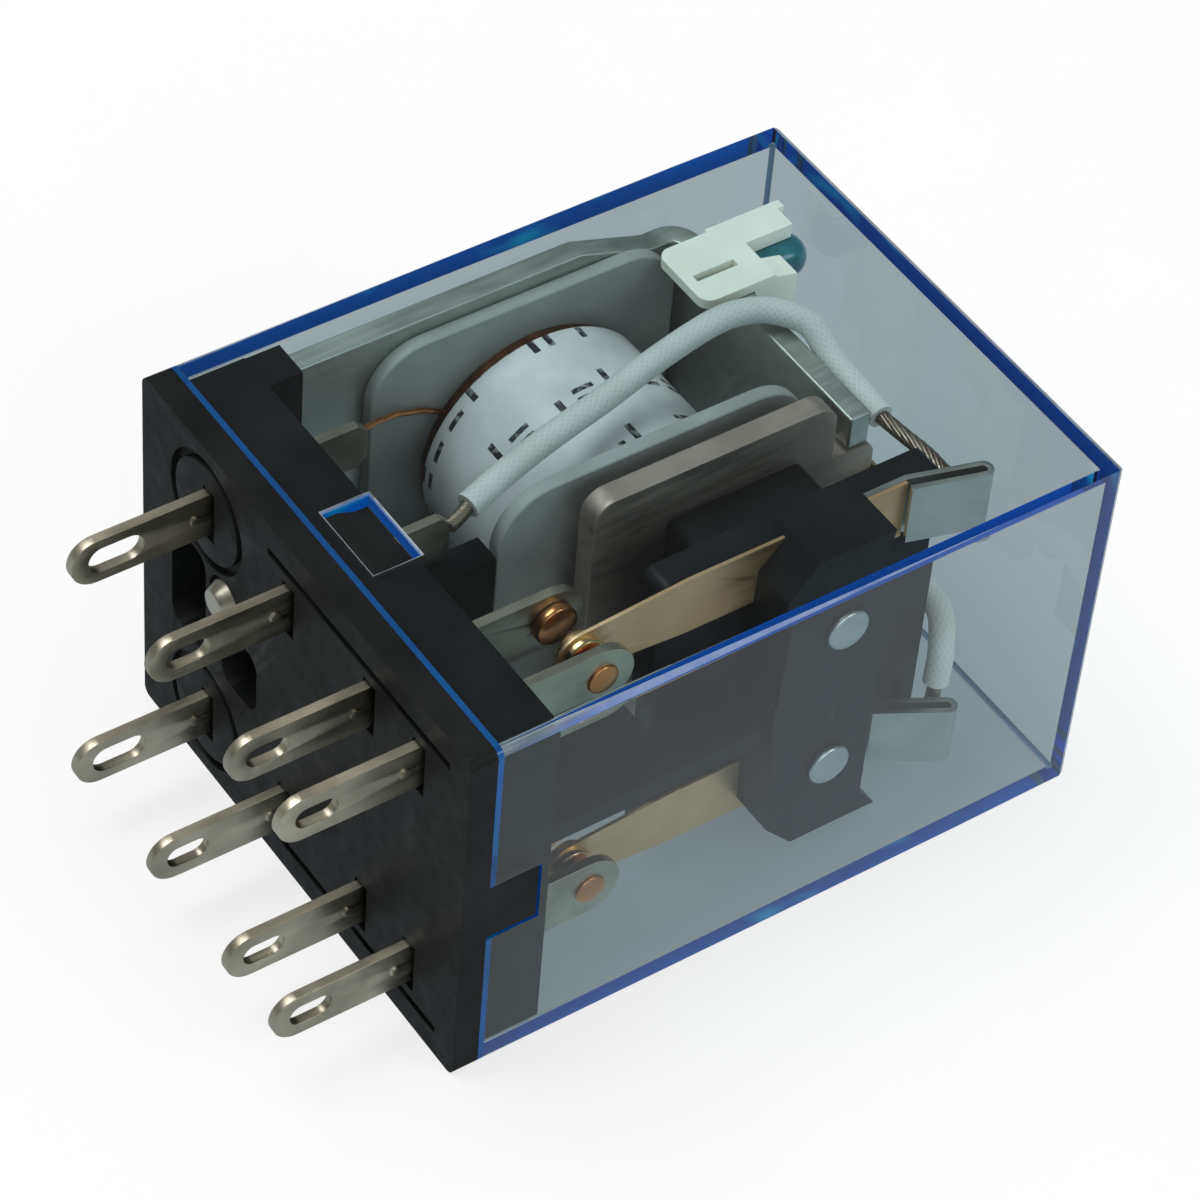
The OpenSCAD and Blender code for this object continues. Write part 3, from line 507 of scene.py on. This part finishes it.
def inner_corners():
    """The moulded fillets in the cover's far inner corners, where light gathers too."""
    low, high = span("cover")
    x = high.x - COVER_WALL
    y0, y1 = low.y + COVER_WALL, high.y - COVER_WALL
    z0, z1 = low.z + COVER_WALL, high.z - COVER_WALL
    down, left, up = Vector((-1, 0, 0)), Vector((0, -1, 0)), Vector((0, 0, 1))
    turns = [math.pi / 2 * k / FILLET_STEPS for k in range(FILLET_STEPS + 1)]
    bm = bmesh.new()
    for start, end, one, two in ((Vector((x, y0, z0)), Vector((x, y1, z0)), down, up),
                                 (Vector((x, y1, z0)), Vector((x, y1, z1)), down, left)):
        section = [Vector()] + [one + two - math.cos(a) * one - math.sin(a) * two for a in turns]
        inset = (end - start).normalized() * FILLET_END_GAP
        lift = (one + two) * FILLET_LIFT
        rings = [[bm.verts.new(place + lift + p * FILLET) for p in section]
                 for place in (start + inset, end - inset)]
        for k in range(len(section)):
            j = (k + 1) % len(section)
            bm.faces.new((rings[0][k], rings[0][j], rings[1][j], rings[1][k]))
        bm.faces.new(rings[0])
        bm.faces.new(rings[1])
    paint = blue_wall("blue_corner", (0.3, 0.5, 0.7), (0.17, 0.28, 0.40), 1.0)
    finish_mesh(bm, "cover_corners", [paint], "root")


# Leads

def smooth_route(points, steps=9):
    """A Catmull-Rom curve through points given as (x, y, z, radius)."""
    pts = [Vector(p) for p in points]
    pts = [2 * pts[0] - pts[1], *pts, 2 * pts[-1] - pts[-2]]
    made = []
    for i in range(1, len(pts) - 2):
        p0, p1, p2, p3 = pts[i - 1:i + 3]
        for k in range(steps):
            t = k / steps
            made.append(0.5 * (2 * p1 + (p2 - p0) * t + (2 * p0 - 5 * p1 + 4 * p2 - p3) * t * t
                               + (3 * p1 - p0 - 3 * p2 + p3) * t ** 3))
    made.append(pts[-2])
    return made


def frames_along(route):
    """Turn-free frames along a route: place, radius, normal and side at each point."""
    out = []
    n = None
    for i, p in enumerate(route):
        before, after = route[max(i - 1, 0)], route[min(i + 1, len(route) - 1)]
        ahead = (after - before).to_3d().normalized()
        n = n or ahead.orthogonal()
        n = (n - ahead * n.dot(ahead)).normalized()
        out.append((p.to_3d(), p.w, n, ahead.cross(n)))
    return out


def ring_at(bm, centre, radius, n, side, count):
    """New vertices evenly round a centre."""
    angles = (math.tau * k / count for k in range(count))
    return [bm.verts.new(centre + radius * (math.cos(a) * n + math.sin(a) * side)) for a in angles]


def add_tube(bm, route, sides, mat):
    """A swept, closed tube with a map of turns round it and diameters along it."""
    layer = bm.loops.layers.uv.get("along") or bm.loops.layers.uv.new("along")
    places = frames_along(route)
    rings = []
    run = []
    far = 0.0
    last = places[0][0]
    for p, r, n, side in places:
        far += (p - last).length / (2 * r)
        last = p
        run.append(far)
        rings.append(ring_at(bm, p, r, n, side, sides))
    for i in range(len(rings) - 1):
        for k in range(sides):
            j = (k + 1) % sides
            f = bm.faces.new((rings[i][k], rings[i][j], rings[i + 1][j], rings[i + 1][k]))
            f.material_index = mat
            for loop, (u, v) in zip(f.loops, ((k, i), (k + 1, i), (k + 1, i + 1), (k, i + 1))):
                loop[layer].uv = (u / sides, run[v])
    bm.faces.new(list(reversed(rings[0]))).material_index = mat
    bm.faces.new(rings[-1]).material_index = mat


def braid(bm, route, mat):
    """Bare copper strands that twist round a core along a route."""
    places = frames_along(smooth_route([(*p, STRAND_CIRCLE) for p in route], 6))
    add_tube(bm, [Vector((*p, STRAND_CIRCLE)) for p, *_ in places], STRAND_CORE_SIDES, mat)
    for k in range(STRANDS):
        strand = []
        for i, (p, _, n, side) in enumerate(places):
            a = math.tau * (k / STRANDS + STRAND_TURNS * i / (len(places) - 1))
            at = p + STRAND_CIRCLE * (math.cos(a) * n + math.sin(a) * side)
            strand.append(Vector((*at, STRAND_R)))
        add_tube(bm, strand, STRAND_SIDES, mat)


# The leads' routes, as in the CAD model, in millimetres: first the sleeves, then the bare ends
RISE = [(9.9, 1.5, 7.6), (12, 2, 8), (15, 2.7, 8.3), (18.5, 3.4, 8.5), (22.5, 4.4, 8.6), (26, 5, 8.7),
        (28, 4.9, 8.6), (29.4, 4.3, 8.35), (30.4, 3.1, 8)]
OVER = [(30.6, 1.5, 7.1), (30.6, -0.5, 6.8), (30.6, -2.6, 6.6)]
LOOP = [(31, 2.8, 7.2), (31.7, 1, 5.6), (31.7, -2.5, 3.6), (31.6, -5.3, 2), (31.1, -7.7, 1.5),
        (30.5, -8.9, 2.8), (30.2, -9.2, 4.6)]
FOOT = [(8.7, 1.15, 7.2), (9.4, 1.3, 7.4), (10.1, 1.55, 7.65)]
OVER_END = [(30.6, -2.4, 6.6), (30.75, -4.4, 6.7), (30.87, -5.9, 6.8), (30.87, -7.2, 6.8),
            (30.87, -8.3, 6.8)]
LOOP_END = [(30.23, -9.2, 4.4), (30.1, -9.27, 5.2), (30, -9.27, 6.6), (29.91, -9.27, 7.9)]


def pigtail(k, side, sleeved, end):
    """One white lead: its sleeve and the bare braid at both ends."""
    def at(points, *more):
        return [(x * MM, y * MM, side * z * MM, *more) for x, y, z in points]

    bm = bmesh.new()
    add_tube(bm, smooth_route(at(RISE + sleeved, SLEEVE_R)), SLEEVE_SIDES, 0)
    braid(bm, at(FOOT), 1)
    braid(bm, at(end), 1)
    piece = finish_mesh(bm, f"pigtail_{k}_look", [PAINT["sleeve"], PAINT["braid"]], None, 60)
    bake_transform(piece)
    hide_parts(f"pigtail_{k}")


# Contact rivets

def add_turned(bm, profile, centre, direction, steps=48):
    """Turns a profile of (radius, height) in millimetres round a direction."""
    d = Vector(direction)
    n = d.orthogonal().normalized()
    rings = []
    for radius, height in profile:
        at = Vector(centre) + d * height * MM
        rings.append(ring_at(bm, at, radius * MM, n, d.cross(n), steps if radius else 1))
    for lower, upper in zip(rings, rings[1:]):
        for k in range(steps):
            j = (k + 1) % steps
            corners = (lower[k % len(lower)], lower[j % len(lower)],
                       upper[j % len(upper)], upper[k % len(upper)])
            unique = list(dict.fromkeys(corners))
            if len(unique) > 2:
                bm.faces.new(unique)


def dome(r, t, crown):
    """Profile of a rivet head: a rounded edge and a slightly raised crown."""
    return [(0, 0), (r, 0), (r, t - HEAD_EDGE - 0.02), (r - HEAD_EDGE * 0.3, t - HEAD_EDGE * 0.3),
            (r - HEAD_EDGE, t), (r * 0.55, t + crown * 0.75), (r * 0.25, t + crown * 0.95), (0, t + crown)]


def contact(node, paint, body, upper, lower):
    """A contact rivet along Y: its heads at the node's upper and lower end, and its shank.

    Its paint and its material slot share a name.
    """
    low, high = span(node)
    centre = (low + high) / 2
    bm = bmesh.new()
    for end, way, (radius, thick, crown, seat) in ((high.y, 1, upper), (low.y, -1, lower)):
        add_turned(bm, dome(radius, thick, crown), (centre.x, end - way * seat * MM, centre.z), (0, way, 0))
    length = (high.y - low.y) / MM - 2 * SHANK_INSET
    add_turned(bm, [(0, 0), (SHANK_R, 0), (SHANK_R, length), (0, length)],
               (centre.x, low.y + SHANK_INSET * MM, centre.z), (0, 1, 0), 24)
    piece = finish_mesh(bm, node + "_look", [PAINT[paint]], body, 50)
    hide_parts(node)


# Building

for k in (1, 2):
    for kind in ("coil", "common", "open", "closed"):
        stand_for(f"{kind}_terminal_{k}", "tinned", 0.09, 3)
    spring_clip(k)
    stand_for(f"moving_spring_{k}", "bronze", 0.03, body="armature")
    stand_for(f"coil_lead_{k}", "copper", 0.001, angle=80)
    stand_for(f"block_rivet_{k}", "silver", 0.08, body="armature")
    contact(f"open_contact_{k}", "copper", "root", FIXED_TAIL, FIXED_HEAD)
    contact(f"closed_contact_{k}", "copper", "root", FIXED_HEAD, FIXED_TAIL)
    contact(f"moving_contact_{k}", "gold", "armature", MOVING_HEAD, MOVING_HEAD)

stand_for("base", "black", 0.05, angle=50)
stand_for("base_rivet", "solder", 0.08, 3)
stand_for("yoke", "yoke", 0.12, 3)
stand_for("core", "iron", 0.12, 3)
stand_for("bobbin", "pale", 0.12, 3)
stand_for("coil_winding", "winding", 0.05)
stand_for("coil_tape", "tape", 0.08)
stand_for("hinge_spring", "bronze", 0.03)
stand_for("hinge_spring_rivet", "silver", 0.08, 3)
stand_for("armature", "iron", 0.12, 3, "armature")
stand_for("contact_block", "block", 0.08, body="armature", angle=40)
stand_for("led_holder", "cream", 0.1, 3)
stand_for("led", "lamp", 0.05)
stand_for("led_resistor", "cream", 0.08)
pigtail(1, 1, OVER, OVER_END)
pigtail(2, -1, LOOP, LOOP_END)
cover()
inner_corners()


# Stage, light and camera

def floor_paint():
    """Matt pale paper for the lamps' shadows, nearly white to the camera, with painted shade where it is
    seen through the cover, and dim in mirror images.
    """
    g = Graph("floor")
    path = g.add("LightPath").outputs
    behind = path["Is Transmission Ray"]
    seen = g.calc("MAXIMUM", path["Is Camera Ray"], behind)
    paper = g.spread(g.noise(90, 3), 0, 1, 0.3, 0.7)
    matt = g.shader("Diffuse", Color=g.blend(paper, (0.90, 0.90, 0.90), (0.92, 0.92, 0.92)))
    # Through the cover the white is dimmer: painted shade that stands for the relay's shadow on the floor
    # behind it
    white = g.add("Emission", {"Color": WHITE, "Strength": g.spread(behind, 1.0, 0.3)}).outputs[0]
    direct = g.mix(g.times(seen, g.spread(behind, 0.72, 0.65)), matt, white)
    dim = g.add("Emission", {"Color": (0.40, 0.45, 0.48, 1), "Strength": 1.0}).outputs[0]
    mirrored = g.calc("GREATER_THAN", path["Glossy Depth"], 0.5)
    return g.done(g.mix(g.times(mirrored, 0.9), direct, dim))


def stage():
    """A pale floor that keeps the shadow."""
    bm = bmesh.new()
    bmesh.ops.create_grid(bm, x_segments=8, y_segments=8, size=FLOOR_HALF)
    for v in bm.verts:
        v.co.z = cad_box[0].z - FLOOR_DROP
    finish_mesh(bm, "floor", [floor_paint()], None)


def surround():
    """A white surround for what the camera sees, softer as a light and dim in mirror images."""
    world = bpy.data.worlds.new("studio")
    bpy.context.scene.world = world
    world.use_nodes = True
    tree = world.node_tree
    tree.nodes.clear()
    path = tree.nodes.new("ShaderNodeLightPath").outputs
    strength = 0.55
    for kind, value in (("Is Transmission Ray", 1.0), ("Is Camera Ray", 1.0), ("Glossy Depth", 0.2)):
        pick = tree.nodes.new("ShaderNodeMapRange")
        tree.links.new(path[kind], pick.inputs["Value"])
        pick.inputs["To Max"].default_value = value
        if isinstance(strength, bpy.types.NodeSocket):
            tree.links.new(strength, pick.inputs["To Min"])
        else:
            pick.inputs["To Min"].default_value = strength
        strength = pick.outputs[0]
    sky = tree.nodes.new("ShaderNodeBackground")
    sky.inputs["Color"].default_value = WHITE
    tree.links.new(strength, sky.inputs["Strength"])
    out = tree.nodes.new("ShaderNodeOutputWorld")
    tree.links.new(sky.outputs[0], out.inputs["Surface"])


def lamp(name, place, size, power):
    """A square lamp that aims at the relay."""
    data = bpy.data.lights.new(name, "AREA")
    data.shape = "SQUARE"
    data.size = size
    data.energy = power
    thing = bpy.data.objects.new(name, data)
    bpy.context.scene.collection.objects.link(thing)
    thing.location = place
    aim = Vector(LAMP_AIM) - Vector(place)
    thing.rotation_mode = "QUATERNION"
    thing.rotation_quaternion = aim.to_track_quat("-Z", "Y")


def camera():
    """The photo's camera, fitted to the edges of base and cover."""
    data = bpy.data.cameras.new("camera")
    data.lens = LENS
    data.sensor_width = SENSOR
    data.clip_start = VIEW_NEAR
    data.clip_end = VIEW_FAR
    cam = bpy.data.objects.new("camera", data)
    bpy.context.scene.collection.objects.link(cam)
    right, up, ahead = (Vector(v) for v in CAMERA_AXES)
    turn = Matrix((right, up, -ahead)).transposed().to_4x4()
    cam.matrix_world = Matrix.Translation(Vector(CAMERA_PLACE) * MM) @ turn
    bpy.context.scene.camera = cam


stage()
surround()
for name, (place, size, power) in LAMPS.items():
    lamp(name, place, size, power)
camera()
bpy.context.scene.view_settings.view_transform = "Standard"
